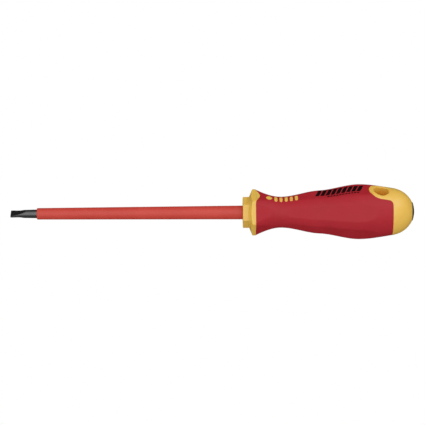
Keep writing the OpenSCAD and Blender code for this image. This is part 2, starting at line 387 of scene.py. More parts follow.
def scuffGroup():
    # thin handling scuffs along the tool and small specks of dust
    tree, given, out = newGroup("scuffs_and_dust", "ShaderNodeTree", [
        ("Vector", vector, None), ("Scuffs", number, 0.5), ("Dust", number, 0.5)],
        [("Scuff Mask", number, None), ("Dust Mask", number, None)])
    stretched = addNode(tree, "ShaderNodeMapping", {"Vector": given["Vector"], "Scale": (60, 900, 900),
                                                    "Rotation": (0, 0.05, 0.08)})
    lines = addNode(tree, "ShaderNodeTexNoise", {"Vector": stretched.outputs[0], "Scale": 1.0,
                                                 "Detail": 3.0, "Roughness": 0.7})
    thin = stretch(tree, lines.outputs[0], 0.66, 0.74)
    tree.links.new(calc(tree, "MULTIPLY", thin, given["Scuffs"]), out["Scuff Mask"])
    specks = addNode(tree, "ShaderNodeTexVoronoi", {"Vector": given["Vector"], "Scale": 420.0})
    tiny = stretch(tree, specks.outputs["Distance"], 0.09, 0.03)
    tree.links.new(calc(tree, "MULTIPLY", tiny, given["Dust"]), out["Dust Mask"])
    return tree


def brushGroup():
    # fine parallel lines left by grinding or drawing; the vector's X runs along the lines
    tree, given, out = newGroup("brushed_lines", "ShaderNodeTree", [
        ("Vector", vector, None), ("Line Width", number, 0.12)],
        [("Height", number, None), ("Streaks", number, None)])
    scale = calc(tree, "DIVIDE", 1 / mm, given["Line Width"])
    squeezed = addNode(tree, "ShaderNodeMapping", {"Vector": given["Vector"], "Scale": (0.03, 1, 1)})
    lines = addNode(tree, "ShaderNodeTexNoise", {"Vector": squeezed.outputs[0], "Scale": scale,
                                                 "Detail": 3.0, "Roughness": 0.6})
    tree.links.new(lines.outputs[0], out["Height"])
    tree.links.new(stretch(tree, lines.outputs[0], 0.3, 0.7), out["Streaks"])
    return tree


holeShade = {"mouth": 15.6, "fadeLength": 9.0, "from": 0.5, "to": 0.1}   # painted light and shade inside the hanging hole; from and to are past its wall


def holeShadingGroup(look):
    # how deep inside the hanging hole a place is, from 0 at its mouths to 1; it sets where light and shade
    # are painted into the hole
    tree, given, out = newGroup("hole_depth", "ShaderNodeTree", [
        ("Vector", vector, None), ("Fade Length", number, look["fadeLength"])], [("Depth", number, None)])
    middle = (place["hole"] * mm, 0, 0)
    arm = addNode(tree, "ShaderNodeVectorMath", {0: given["Vector"], 1: middle},
                  operation="SUBTRACT").outputs[0]
    away = addNode(tree, "ShaderNodeVectorMath", {0: arm, 1: tuple(markedWay)}, operation="DOT_PRODUCT")
    height = calc(tree, "ABSOLUTE", away.outputs["Value"])
    reach = addNode(tree, "ShaderNodeVectorMath", {0: arm}, operation="LENGTH").outputs["Value"]
    radius = calc(tree, "SQRT", calc(tree, "SUBTRACT", calc(tree, "MULTIPLY", reach, reach),
                                     calc(tree, "MULTIPLY", height, height)))
    near = stretch(tree, radius, (holeRadius + look["from"]) * mm, (holeRadius + look["to"]) * mm)
    mouth = look["mouth"] * mm
    deep = stretch(tree, height, mouth, calc(tree, "MULTIPLY_ADD", given["Fade Length"], -mm, mouth))
    tree.links.new(calc(tree, "MULTIPLY", near, deep), out["Depth"])
    return tree


grain, mottle, scuffs, brushed = grainGroup(), mottleGroup(), scuffGroup(), brushGroup()
paintedHoleShading = holeShadingGroup(holeShade)


def useGroup(tree, group, values):
    return addNode(tree, "ShaderNodeGroup", values, node_tree=group).outputs


def blendColour(tree, factor, *pair):
    a, b = (value if isinstance(value, bpy.types.NodeSocket) else (*value, 1) for value in pair)
    return addNode(tree, "ShaderNodeMix", {0: factor, 6: a, 7: b}, data_type="RGBA").outputs[2]


def moulded(name, look):
    # a moulded plastic or rubber: cloudy colour, fine grain with painted shade in its hollows, scuffs, a
    # little dust and, where asked, painted light and shade inside the hanging hole
    made = bpy.data.materials.new(name)
    made.use_nodes = True
    tree = made.node_tree
    body = tree.nodes["Principled BSDF"]
    at = addNode(tree, "ShaderNodeTexCoord").outputs["Object"]
    cloud = useGroup(tree, mottle, {"Vector": at, "Cloud Size": look["cloudSize"],
                                    "Contrast": look["cloudContrast"]})["Cloud"]
    fine = useGroup(tree, grain, {"Vector": at, "Grain Size": look["grainSize"],
                                  "Unevenness": look["unevenness"]})
    marks = useGroup(tree, scuffs, {"Vector": at, "Scuffs": look["scuffs"], "Dust": look["dust"]})
    colour = blendColour(tree, cloud, look["deep"], look["colour"])
    # painted shade: the colour darkens towards the deep tone in the grain's hollows
    shade = calc(tree, "MULTIPLY", fine["Hollows"], look["grainShade"])
    colour = blendColour(tree, shade, colour, look["deep"])
    colour = blendColour(tree, marks["Dust Mask"], colour, look["dustColour"])
    # painted light and shade: the hanging hole's lining turns a deeper orange with depth
    if "inside" in look:
        depth = useGroup(tree, paintedHoleShading, {"Vector": at})["Depth"]
        colour = blendColour(tree, depth, colour, look["inside"])
    tree.links.new(colour, body.inputs["Base Color"])
    rough = calc(tree, "MULTIPLY_ADD", cloud, look["roughChange"], look["rough"])
    rough = calc(tree, "MULTIPLY_ADD", marks["Scuff Mask"], look["scuffRough"], rough)
    tree.links.new(rough, body.inputs["Roughness"])
    raised = addNode(tree, "ShaderNodeBump", {"Height": fine["Height"], "Distance": look["grainDepth"] * mm,
                                              "Strength": 1.0})
    tree.links.new(raised.outputs[0], body.inputs["Normal"])
    body.inputs["IOR"].default_value = look["ior"]
    body.inputs["Specular IOR Level"].default_value = look["specular"]
    if "through" in look:
        body.inputs["Subsurface Weight"].default_value = look["through"]
        body.inputs["Subsurface Radius"].default_value = look["throughWay"]
        body.inputs["Subsurface Scale"].default_value = look["throughDepth"] * mm
    made.diffuse_color = (*look["colour"], 1)
    return made


gripRubber = moulded("grip_rubber", {
    "colour": (0.43, 0.007, 0.018), "deep": (0.38, 0.005, 0.014), "cloudSize": 16, "cloudContrast": 0.8,
    "grainSize": 0.22, "unevenness": 0.45, "grainShade": 0.12, "grainDepth": 0.012,
    "rough": 0.46, "roughChange": 0.06, "scuffs": 0.35, "scuffRough": 0.12,
    "dust": 0.25, "dustColour": (0.5, 0.2, 0.2), "ior": 1.5, "specular": 0.38})
shellPlastic = moulded("shell_plastic", {
    "colour": (0.82, 0.515, 0.086), "deep": (0.78, 0.475, 0.070), "cloudSize": 12, "cloudContrast": 0.7,
    # inside: the painted light-and-shade colour of the hanging hole's lining
    "through": 0.25, "throughDepth": 1.2, "throughWay": (1, 0.6, 0.3), "inside": (0.95, 0.46, 0.046),
    "grainSize": 0.35, "unevenness": 0.4, "grainShade": 0.04, "grainDepth": 0.006,
    "rough": 0.30, "roughChange": 0.06, "scuffs": 0.4, "scuffRough": 0.15,
    "dust": 0.2, "dustColour": (0.8, 0.65, 0.35), "ior": 1.5, "specular": 0.9})
sleevePlastic = moulded("sleeve_plastic", {
    "colour": (0.60, 0.044, 0.024), "deep": (0.55, 0.034, 0.018), "cloudSize": 10, "cloudContrast": 0.8,
    "grainSize": 0.3, "unevenness": 0.4, "grainShade": 0.05, "grainDepth": 0.006,
    "rough": 0.44, "roughChange": 0.08, "scuffs": 0.5, "scuffRough": 0.15,
    "dust": 0.2, "dustColour": (0.7, 0.3, 0.25), "ior": 1.5, "specular": 0.7})
corePlastic = moulded("core_plastic", {
    "colour": (0.014, 0.013, 0.014), "deep": (0.009, 0.009, 0.010), "cloudSize": 8, "cloudContrast": 0.8,
    "grainSize": 0.3, "unevenness": 0.4, "grainShade": 0.2, "grainDepth": 0.01,
    "rough": 0.42, "roughChange": 0.08, "scuffs": 0.5, "scuffRough": 0.15,
    "dust": 0.3, "dustColour": (0.1, 0.1, 0.1), "ior": 1.5, "specular": 0.5})
printInk = moulded("print_ink", {
    "colour": (0.008, 0.003, 0.0035), "deep": (0.014, 0.003, 0.004), "cloudSize": 2, "cloudContrast": 1,
    "grainSize": 0.2, "unevenness": 0.5, "grainShade": 0.3, "grainDepth": 0.01,
    "rough": 0.7, "roughChange": 0.1, "scuffs": 0.5, "scuffRough": 0.1,
    "dust": 0.0, "dustColour": (0.1, 0.1, 0.1), "ior": 1.12, "specular": 0.5})


steelLook = {"colour": (0.25, 0.25, 0.255), "dark": (0.17, 0.17, 0.173), "rough": 0.31, "lineWidth": 0.1,
             "lineDepth": 0.004, "groundEnd": 10.3, "groundFade": 0.3}


def makeSteel(look):
    # drawn bar with fine lines along it; the ground faces have lines across them and are rougher
    made = bpy.data.materials.new("blade_steel")
    made.use_nodes = True
    tree = made.node_tree
    body = tree.nodes["Principled BSDF"]
    at = addNode(tree, "ShaderNodeTexCoord").outputs["Object"]
    across = addNode(tree, "ShaderNodeMapping", {"Vector": at, "Rotation": (0, 0, math.pi / 2)}).outputs[0]
    drawn = useGroup(tree, brushed, {"Vector": at, "Line Width": look["lineWidth"]})
    ground = useGroup(tree, brushed, {"Vector": across, "Line Width": look["lineWidth"]})
    fade = look["groundFade"]
    onTip = stretch(tree, partsOf(tree, at)["X"], (look["groundEnd"] + fade) * mm,
                    (look["groundEnd"] - fade) * mm)
    height, streaks = (addNode(tree, "ShaderNodeMix", {"Factor": onTip, "A": drawn[key], "B": ground[key]})
                       for key in ("Height", "Streaks"))
    cloud = useGroup(tree, mottle, {"Vector": at, "Cloud Size": 4, "Contrast": 0.8})["Cloud"]
    shade = calc(tree, "MULTIPLY_ADD", streaks.outputs[0], 0.35, calc(tree, "MULTIPLY", cloud, 0.4))
    tree.links.new(blendColour(tree, shade, look["colour"], look["dark"]), body.inputs["Base Color"])
    rough = calc(tree, "MULTIPLY_ADD", streaks.outputs[0], 0.1, look["rough"])
    tree.links.new(rough, body.inputs["Roughness"])
    raised = addNode(tree, "ShaderNodeBump", {"Height": height.outputs[0],
                                              "Distance": look["lineDepth"] * mm})
    tree.links.new(raised.outputs[0], body.inputs["Normal"])
    body.inputs["Metallic"].default_value = 1
    return made


bladeSteel = makeSteel(steelLook)
print("materials made")


# Handle: one outer form, which is cut into the soft grip and the hard shell

handleForm = {
    "mouth": (place["grip"], 14.7, -0.47),                # place, radius and slope
    "neck": (place["handle"] + 24.6, 10.0, 0),
    "swell": (place["handle"] + 49.5, 13.95, 0.045),
    "bulb": (place["butt"] - 35.6, 17.75, 0),
    "heel": (place["butt"] - 14.1, 15.25, -0.15),
    "domeRadius": 15.25 * 1.012,
    "discRadius": 6.1, "discGap": 0.35,
    "flatHalf": 16.68, "gripThickness": 2.6, "edgeRounding": 0.3,
    "edgeFrom": 7, "edgeTo": 26, "gathering": 1.45,       # angles in degrees; columns crowd at the edges
    "seamMerge": 0.005,
    "rings": 264, "segments": 192,
}
# Flats as a share of the round radius: place and share. They fade out at the neck.
flatShares = [
    (place["grip"], flangeFlatHalf / handleForm["mouth"][1]),
    (place["grip"] + 4, 0.937), (place["grip"] + 9, 0.98),
    (handleForm["neck"][0] - 4, 1.02), (handleForm["neck"][0] + 2.5, 1.02),
    (handleForm["neck"][0] + 6, 0.967), (handleForm["neck"][0] + 15, 0.952),
    (handleForm["swell"][0], 0.9455),
    (handleForm["bulb"][0] - 4, handleForm["flatHalf"] / handleForm["bulb"][1]),
    (handleForm["bulb"][0], handleForm["flatHalf"] / handleForm["bulb"][1]),
]
shareLow, shareSpan = 0.85, 0.2


def profileCurve(form):
    # curve of the round handle in the XZ plane: stations with slopes, then part of an ellipse
    knots = []
    stations = [form[name] for name in ("mouth", "neck", "swell", "bulb", "heel")]
    for index, (x, r, slope) in enumerate(stations):
        before = (x - stations[index - 1][0]) / 3 if index else 1
        after = (stations[index + 1][0] - x) / 3 if index + 1 < len(stations) else 1
        knots.append([(x, r), (x - before, r - slope * before), (x + after, r + slope * after)])
    tall = form["domeRadius"]
    start = math.acos(form["heel"][1] / tall)
    end = math.acos((form["discRadius"] + form["discGap"]) / tall)
    long = (place["dome"] - form["heel"][0]) / (1 - math.sin(start))
    middle = place["dome"] - long
    pull = 4 / 3 * math.tan((end - start) / 4)

    def onDome(t, reach):
        return (middle + long * (math.sin(t) + reach * math.cos(t)),
                tall * (math.cos(t) - reach * math.sin(t)))

    knots[-1][2] = onDome(start, pull)
    knots.append([onDome(end, 0), onDome(end, -pull), onDome(end, 0)])
    curve = bpy.data.curves.new("handle_profile", "CURVE")
    curve.dimensions = "3D"
    spline = curve.splines.new("BEZIER")
    spline.resolution_u = 48
    spline.bezier_points.add(len(knots) - 1)
    for point, spots in zip(spline.bezier_points, knots):
        point.handle_left_type = point.handle_right_type = "FREE"
        point.co, point.handle_left, point.handle_right = [(x * mm, 0, r * mm) for x, r in spots]
    made = bpy.data.objects.new("handle_profile", curve)
    bpy.context.scene.collection.objects.link(made)
    return made


def handleTree():
    tree, given, out = newGroup("handle_form", "GeometryNodeTree", [
        ("Profile", target, None), ("Rings", whole, 200), ("Segments", whole, 192),
        ("Bulb", number, 0.1), ("Flat Half", number, 0.01),
        ("Edge Rounding", number, 0.0003), ("Grip Thickness", number, 0.0026),
        ("Material", paint, None)], [("Geometry", shape, None)])
    columns = calc(tree, "ADD", given["Segments"], 1)
    grid = addNode(tree, "GeometryNodeMeshGrid", {"Size X": 1.0, "Size Y": 1.0,
                                                  "Vertices X": given["Rings"], "Vertices Y": columns})
    spot = partsOf(tree, spotIn(tree))
    along = calc(tree, "ADD", spot["X"], 0.5)
    around = calc(tree, "MULTIPLY", calc(tree, "ADD", spot["Y"], 0.5), faceCount)
    profile = addNode(tree, "GeometryNodeObjectInfo", {"Object": given["Profile"]}).outputs["Geometry"]
    sample = addNode(tree, "GeometryNodeSampleCurve", {"Curves": profile, "Factor": along},
                     mode="FACTOR", use_all_curves=False)
    onProfile = partsOf(tree, sample.outputs["Position"])
    x, radius = onProfile["X"], onProfile["Z"]
    # half the distance across the flats, from the share curve, and level behind the bulb
    first, last = flatShares[0][0], flatShares[-1][0]
    progress = calc(tree, "DIVIDE", calc(tree, "SUBTRACT", x, first * mm), (last - first) * mm)
    shareCurve = addNode(tree, "ShaderNodeFloatCurve", {"Value": progress})
    dots = shareCurve.mapping.curves[0].points
    for index, (station, share) in enumerate(flatShares):
        spotOn = ((station - first) / (last - first), (share - shareLow) / shareSpan)
        if index in (0, len(flatShares) - 1):
            dots[0 if index == 0 else len(dots) - 1].location = spotOn
        else:
            dots.new(*spotOn)
    for dot in dots:
        dot.handle_type = "AUTO_CLAMPED"
    shareCurve.mapping.update()
    share = calc(tree, "MULTIPLY_ADD", shareCurve.outputs[0], shareSpan, shareLow)
    level = calc(tree, "GREATER_THAN", x, given["Bulb"])
    flatHalf = addNode(tree, "ShaderNodeMix", {"Factor": level, "A": calc(tree, "MULTIPLY", radius, share),
                                               "B": given["Flat Half"]}).outputs[0]
    # columns are gathered along the edges of the flats
    swing = calc(tree, "SUBTRACT", calc(tree, "MULTIPLY", calc(tree, "FRACT", around), 2.0), 1.0)
    cosine = calc(tree, "MINIMUM", calc(tree, "DIVIDE", flatHalf, radius), 1.0)
    edge = calc(tree, "MAXIMUM", calc(tree, "ARCCOSINE", cosine), math.radians(handleForm["edgeFrom"]))
    edge = calc(tree, "MINIMUM", edge, math.radians(handleForm["edgeTo"]))
    fromEdge = calc(tree, "SUBTRACT", calc(tree, "MULTIPLY", calc(tree, "ABSOLUTE", swing), 2.0), 1.0)
    gathered = calc(tree, "MULTIPLY", calc(tree, "SIGN", fromEdge),
                    calc(tree, "POWER", calc(tree, "ABSOLUTE", fromEdge), handleForm["gathering"]))
    inside = calc(tree, "MULTIPLY", edge, calc(tree, "ADD", gathered, 1.0))
    outside = calc(tree, "MULTIPLY_ADD", gathered, calc(tree, "SUBTRACT", faceStep / 2, edge), edge)
    past = calc(tree, "GREATER_THAN", fromEdge, 0.0)
    turn = addNode(tree, "ShaderNodeMix", {"Factor": past, "A": inside, "B": outside}).outputs[0]
    flatReach = calc(tree, "DIVIDE", flatHalf, calc(tree, "COSINE", turn))
    rounded = calc(tree, "SMOOTH_MIN", radius, flatReach, given["Edge Rounding"])
    angle = calc(tree, "MULTIPLY_ADD", calc(tree, "FLOOR", around), faceStep,
                 calc(tree, "MULTIPLY", calc(tree, "SIGN", swing), turn))
    where = fromParts(tree, {"X": x, "Y": calc(tree, "MULTIPLY", rounded, calc(tree, "SINE", angle)),
                             "Z": calc(tree, "MULTIPLY", rounded, calc(tree, "COSINE", angle))})
    under = calc(tree, "SUBTRACT", radius, given["Grip Thickness"])
    stored = addNode(tree, "GeometryNodeStoreNamedAttribute", {
        "Geometry": grid.outputs["Mesh"], "Name": "under", "Value": under},
        data_type="FLOAT", domain="POINT")
    moved = addNode(tree, "GeometryNodeSetPosition", {"Geometry": stored.outputs[0], "Position": where})
    sewn = addNode(tree, "GeometryNodeMergeByDistance", {"Geometry": moved.outputs[0],
                                                         "Distance": handleForm["seamMerge"] * mm})
    real = addNode(tree, "GeometryNodeRealizeInstances", {"Geometry": sewn.outputs[0]})
    painted = addNode(tree, "GeometryNodeSetMaterial", {"Geometry": real.outputs[0],
                                                        "Material": given["Material"]})
    tree.links.new(painted.outputs[0], out["Geometry"])
    return tree


profile = profileCurve(handleForm)
formMesh = grow("handle_form", handleTree(), {
    "Profile": profile, "Rings": handleForm["rings"], "Segments": handleForm["segments"],
    "Bulb": handleForm["bulb"][0] * mm, "Flat Half": handleForm["flatHalf"] * mm,
    "Edge Rounding": handleForm["edgeRounding"] * mm, "Grip Thickness": handleForm["gripThickness"] * mm,
    "Material": gripRubber})
bpy.data.objects.remove(profile)
print("handle form:", len(formMesh.polygons), "faces")


# Outlines of what is moulded in the hard plastic, as distances that are negative inside

marks = {"pip": place["handle"] + 17, "pipRadius": 2.0, "barHalf": 0.95, "barReach": 1.85,
         "firstBar": place["handle"] + 17 + 2.0 + 3.3 - 0.95, "pitch": 3.3, "bars": 5}
boss = {"radius": 7.9, "fillet": 2.6}
tab = {"length": 2.6, "pointHalf": 0.8, "baseHalf": flangeFlatHalf * math.tan(faceStep / 2)}
lip = {"width": 0.32, "depth": 0.1, "steps": (0, 0.12, 0.32)}
rim = {"width": 0.8, "depth": 0.85, "steps": 6}
cut = {"snap": 0.02, "halvings": 14}


def onFace(points, side):
    # place along the tool, distance across a marked face and height out of it
    return points[:, 0], np.abs(points[:, :3] @ acrossWay), points[:, :3] @ markedWay * side


def bossDistance(x, across):
    away = np.where(x < place["hole"], np.hypot(x - place["hole"], across), across)
    return roundUnion(away - boss["radius"], place["gripEnd"] - x, boss["fillet"])


def markDistance(x, across):
    distance = np.hypot(x - marks["pip"], across) - marks["pipRadius"]
    for bar in range(marks["bars"]):
        middle = marks["firstBar"] + bar * marks["pitch"]
        distance = np.minimum(distance, np.hypot(x - middle, np.maximum(across - marks["barReach"], 0))
                              - marks["barHalf"])
    return distance


def tabDistance(x, across):
    rise = tab["baseHalf"] - tab["pointHalf"]
    slant = ((x - place["grip"]) * rise + (across - tab["baseHalf"]) * tab["length"]) \
        / math.hypot(rise, tab["length"])
    return np.maximum(slant, x - place["grip"] - tab["length"])


def hardDistance(points):
    distance = place["gripEnd"] - points[:, 0]
    for side in markedSides:
        x, across, height = onFace(points, side)
        here = np.minimum(bossDistance(x, across), markDistance(x, across))
        here = np.minimum(here, tabDistance(x, across))
        distance = np.where(height > 0, here, distance)
    return distance


def holeDistance(points):
    x, across, _ = onFace(points, 1)
    return np.hypot(x - place["hole"], across) - holeRadius


def mouthDistance(points):
    return points[:, 0] - place["grip"]


def cutAt(points, faces, distance, level):
    # splits every face that a contour crosses; the new points lie on the contour
    value = distance(points) - level
    value[np.abs(value) < cut["snap"]] = 0
    side = np.sign(value).astype(int).tolist()
    fresh, parts = {}, []
    for face in faces:
        signs = [side[corner] for corner in face]
        if min(signs) >= 0 or max(signs) <= 0:
            parts.append(face)
            continue
        halves = {1: [], -1: []}
        for corner, following in zip(face, face[1:] + face[:1]):
            for way, half in halves.items():
                if side[corner] * way >= 0:
                    half.append(corner)
                if side[corner] * side[following] < 0:
                    edge = (min(corner, following), max(corner, following))
                    half.append(fresh.setdefault(edge, len(points) + len(fresh)))
        parts += [half for half in halves.values() if len(half) > 2]
    if not fresh:
        return points, parts
    ends = np.array(list(fresh))
    near, far = points[ends[:, 0]], points[ends[:, 1]]
    start, stop = np.zeros(len(ends)), np.ones(len(ends))
    nearSide = np.sign(value[ends[:, 0]])
    for _ in range(cut["halvings"]):                      # finds the contour on each edge
        middle = (start + stop) / 2
        same = np.sign(distance(near + (far - near) * middle[:, None]) - level) == nearSide
        start, stop = np.where(same, middle, start), np.where(same, stop, middle)
    return np.vstack([points, near + (far - near) * ((start + stop) / 2)[:, None]]), parts


def readForm(mesh):
    points = np.zeros(len(mesh.vertices) * 3)
    mesh.vertices.foreach_get("co", points)
    under = np.zeros(len(mesh.vertices))
    mesh.attributes["under"].data.foreach_get("value", under)
    faces = [list(face.vertices) for face in mesh.polygons]
    return np.column_stack([points.reshape(-1, 3), under]) / mm, faces


def outward(points):
    # unit vectors away from the tool's axis
    flat = points[:, :3] * (0, 1, 1)
    return flat / np.maximum(np.linalg.norm(flat, axis=1), 1e-9)[:, None]


def shapeSkin(points):
    # sinks the skin a little along its seams, and rounds the hole's mouths
    seam = np.minimum(np.abs(hardDistance(points)), np.abs(mouthDistance(points)))
    sink = lip["depth"] * np.clip(1 - seam / lip["width"], 0, 1) ** 2
    skin = points[:, :3] - outward(points) * sink[:, None]
    across = np.clip(1 - holeDistance(points) / rim["width"], 0, 1)
    drop = rim["depth"] * (1 - np.sqrt(1 - across ** 2))
    side = np.sign(points[:, :3] @ markedWay)
    return skin - markedWay * (side * drop)[:, None]


def edgesOf(faces):
    owners = {}
    for index, face in enumerate(faces):
        for a, b in zip(face, face[1:] + face[:1]):
            owners.setdefault((min(a, b), max(a, b)), []).append(index)
    return owners


def splitHandle(mesh):
    points, faces = readForm(mesh)
    for level in lip["steps"]:
        for way in ((1, -1) if level else (1,)):
            points, faces = cutAt(points, faces, hardDistance, way * level)
        if level:
            points, faces = cutAt(points, faces, mouthDistance, level)
    for step in range(rim["steps"] + 1):
        level = rim["width"] * (1 - math.cos(math.pi / 2 * step / rim["steps"]))
        points, faces = cutAt(points, faces, holeDistance, level)
    middles = np.array([points[face].mean(0) for face in faces])
    hard, hollow = hardDistance(middles) < 0, holeDistance(middles) < 0
    faces = [face for face, gone in zip(faces, hollow) if not gone]
    hard = hard[~hollow].tolist()
    skin = shapeSkin(points)
    under = outward(points) * points[:, 3:4] + points[:, :3] * (1, 0, 0)
    return points, skin, under, faces, hard


# the disc's seat: places along the tool and inwards from its edge, then straight down to its depth
discSeat = {"lead": [(-0.03, 0.12), (-0.12, 0.26), (-0.35, 0.32)], "wall": 0.32, "depth": 3}
holeRowCount = 5

formPoints, skinPoints, underPoints, formFaces, isHard = splitHandle(formMesh)
bpy.data.meshes.remove(formMesh)
print("handle form cut:", len(formFaces), "faces")


def makeGrip():
    # the soft faces, their copy on the hard body, and walls round every edge
    total = len(skinPoints)
    soft = [face for face, hard in zip(formFaces, isHard) if not hard]
    faces = soft + [[corner + total for corner in reversed(face)] for face in soft]
    for (a, b), owners in edgesOf(soft).items():
        if len(owners) == 1:
            faces.append([a, b, b + total, a + total])
    return meshOf("soft_grip_skin", np.vstack([skinPoints, underPoints]), faces)


def makeShell():
    # hard faces where they show, the body under the grip elsewhere, walls, the hole and both ends
    total = len(skinPoints)
    points = [list(point) for point in np.vstack([skinPoints, underPoints])]
    faces, rowAt = [], {}
    for face, hard in zip(formFaces, isHard):
        faces.append(face if hard else [corner + total for corner in face])

    def rowPoint(corner, row, spot):
        if (corner, row) not in rowAt:
            rowAt[corner, row] = len(points)
            points.append(list(spot))
        return rowAt[corner, row]

    def addRows(a, b, rows):
        # rows turns one edge point into the points that follow it inwards
        before = (a, b)
        for row, (spotA, spotB) in enumerate(zip(rows(points[a]), rows(points[b]))):
            after = (rowPoint(a, row, spotA), rowPoint(b, row, spotB))
            faces.append([before[0], before[1], after[1], after[0]])
            before = after

    def holeRows(point):
        height = np.dot(point, markedWay)
        return [np.array(point) - markedWay * height * (row + 1) / holeRowCount
                for row in range(holeRowCount)]

    def discRows(point):
        way = outward(np.array([point]))[0]
        bottom = point[0] - discSeat["depth"]
        rows = [np.array([point[0] + x, 0, 0]) + way * (np.dot(point, way) - inward)
                for x, inward in discSeat["lead"] + [(-discSeat["depth"], discSeat["wall"])]]
        return rows + [np.array([bottom, 0, 0])]

    def mouthRows(point):
        return [np.array([point[0], 0, 0])]

    for (a, b), owners in edgesOf(formFaces).items():
        if len(owners) == 2:
            if isHard[owners[0]] != isHard[owners[1]]:
                faces.append([a, b, b + total, a + total])
            continue
        x = formPoints[a, 0]
        if x > place["dome"] - discSeat["depth"]:
            addRows(a, b, discRows)
        elif x < place["grip"] + 1:
            shift = 0 if isHard[owners[0]] else total
            addRows(a + shift, b + shift, mouthRows)
        else:
            addRows(a, b, holeRows)
    return points, faces


gripMesh = makeGrip()
shellPoints, shellFaces = makeShell()
print("grip and shell made:", len(gripMesh.polygons), len(shellFaces))


# Collar, flange and index tabs, as one ring whose section follows its six sides

collar = {"flatHalf": 8.75, "length": 3.6, "slope": 2.6, "bore": 4.47, "boreRound": 0.15,
          "frontRound": 0.55, "coneRound": 0.3, "rimRound": 0.22, "backRound": 0.25, "cornerRound": 0.5,
          "inner": 10.8, "innerRound": 0.05, "depth": 1.6}
collarAcross = (0.0, 0.4, 0.8, 1.0, 1.8, 2.8, 3.8, 4.8, 5.6, 6.2, 6.6, 6.9, 7.15, 7.35)


def sixSided(flatHalf, turn):
    off = abs(turn)
    return smoothMin(flatHalf / math.cos(off), flatHalf / math.cos(faceStep - off), collar["cornerRound"])


def makeCollar():
    front = place["handle"]
    coneStart = front + collar["length"]
    corner = flangeFlatHalf / math.cos(faceStep / 2)
    coneSlope = (corner - collar["flatHalf"]) / collar["slope"]
    half = [math.atan(across / flangeFlatHalf) for across in collarAcross]
    turns = [-turn for turn in reversed(half[1:])] + half + [faceStep / 2]
    columns = []
    for face in range(faceCount):
        marked = face % 3 == 1
        for turn in turns:
            small = sixSided(collar["flatHalf"], turn)
            wide = sixSided(flangeFlatHalf, turn)
            across = abs(wide * math.sin(turn))
            point = (tab["baseHalf"] - across) / (tab["baseHalf"] - tab["pointHalf"])
            back = place["grip"] + tab["length"] * min(max(point, 0), 1) * marked
            inside = place["grip"] - collar["depth"]
            path = roundedPath([
                (front, collar["bore"], collar["boreRound"]), (front, small, collar["frontRound"]),
                (coneStart + (small - collar["flatHalf"]) / coneSlope, small, collar["coneRound"]),
                (coneStart + (wide - collar["flatHalf"]) / coneSlope, wide, collar["rimRound"]),
                (back, wide, collar["backRound"]), (back, collar["inner"], collar["innerRound"]),
                (inside, collar["inner"], collar["innerRound"]),
                (inside, collar["bore"], collar["innerRound"])])
            angle = face * faceStep + turn
            columns.append([[x, r * math.sin(angle), r * math.cos(angle)] for x, r in path])
    points = [point for column in columns for point in column]
    return points, ringFaces(len(columns), len(columns[0]), True, False)


shell = addPiece("handle_shell_moulding", meshOf("handle_shell_moulding", *joinParts(
    [(shellPoints, shellFaces), makeCollar()])), shellPlastic)
grip = addPiece("soft_grip_skin", gripMesh, gripRubber)
print("collar made")


# Insulation sleeve and blade

sleeve = {"frontRadius": 3.7, "backRadius": 4.45, "bore": 2.82, "frontRound": 0.6, "boreRound": 0.12,
          "ringRound": 0.5, "endRound": 0.2, "endBoreRound": 0.1, "rings": 12}


def makeSleeve():
    front, neck, end = place["sleeve"], place["handle"], place["sleeveEnd"]
    growth = sleeve["backRadius"] - sleeve["frontRadius"]
    corners = [(front, sleeve["bore"], sleeve["boreRound"]),
               (front, sleeve["frontRadius"], sleeve["frontRound"])]
    for ring in range(1, sleeve["rings"] + 1):
        share = ring / sleeve["rings"]
        corners.append((front + (neck - front) * share, sleeve["frontRadius"] + growth * share,
                        sleeve["ringRound"]))
    corners += [(end, sleeve["backRadius"], sleeve["endRound"]),
                (end, sleeve["bore"], sleeve["endBoreRound"])]
    return turned(corners, sides=72)


insulation = addPiece("insulation_sleeve", meshOf("insulation_sleeve", *makeSleeve()), sleevePlastic)

tip = {"widthHalf": 3.25, "thicknessHalf": 0.6, "shaftRadius": 2.8, "waistRadius": 2.6, "groundEnd": 10.3,
       "hollowStart": 3.8, "flatTaper": 0.33, "parallel": 1.3, "shoulder": 5.2, "waist": 6.5,
       "shaftStart": 17.0, "edgeRounding": 0.1, "leastEdge": 6, "tangChamfer": 1.0,
       "edgeInsets": {0.0: 0.08, 0.03: 0.03}, "steps": 24, "stepLength": 0.425, "firstStep": 0.35,
       "onShaft": [11.5, 13.0, 15.0, 17.0, 60.0, 110.0, 160.0, 190.0]}
wings = {"thicknessHalf": 0.9, "span": 4.5, "length": 9.0, "ramp": 1.8}


def groundHalf(x):
    hollow = (max(0, x - tip["hollowStart"]) / (tip["groundEnd"] - tip["hollowStart"])) ** 2
    share = tip["flatTaper"] * x / tip["groundEnd"] + (1 - tip["flatTaper"]) * hollow
    return tip["thicknessHalf"] + (tip["shaftRadius"] - tip["thicknessHalf"]) * share


def roundAt(x):
    return float(np.interp(x, [0, tip["parallel"], tip["waist"], tip["groundEnd"], tip["shaftStart"]],
                           [tip["widthHalf"] + 0.1, tip["widthHalf"] + 0.1, tip["waistRadius"],
                            tip["waistRadius"] + 0.05, tip["shaftRadius"]]))


def widthAt(x):
    return float(np.interp(x, [tip["parallel"], tip["shoulder"]], [tip["widthHalf"], tip["shaftRadius"]]))


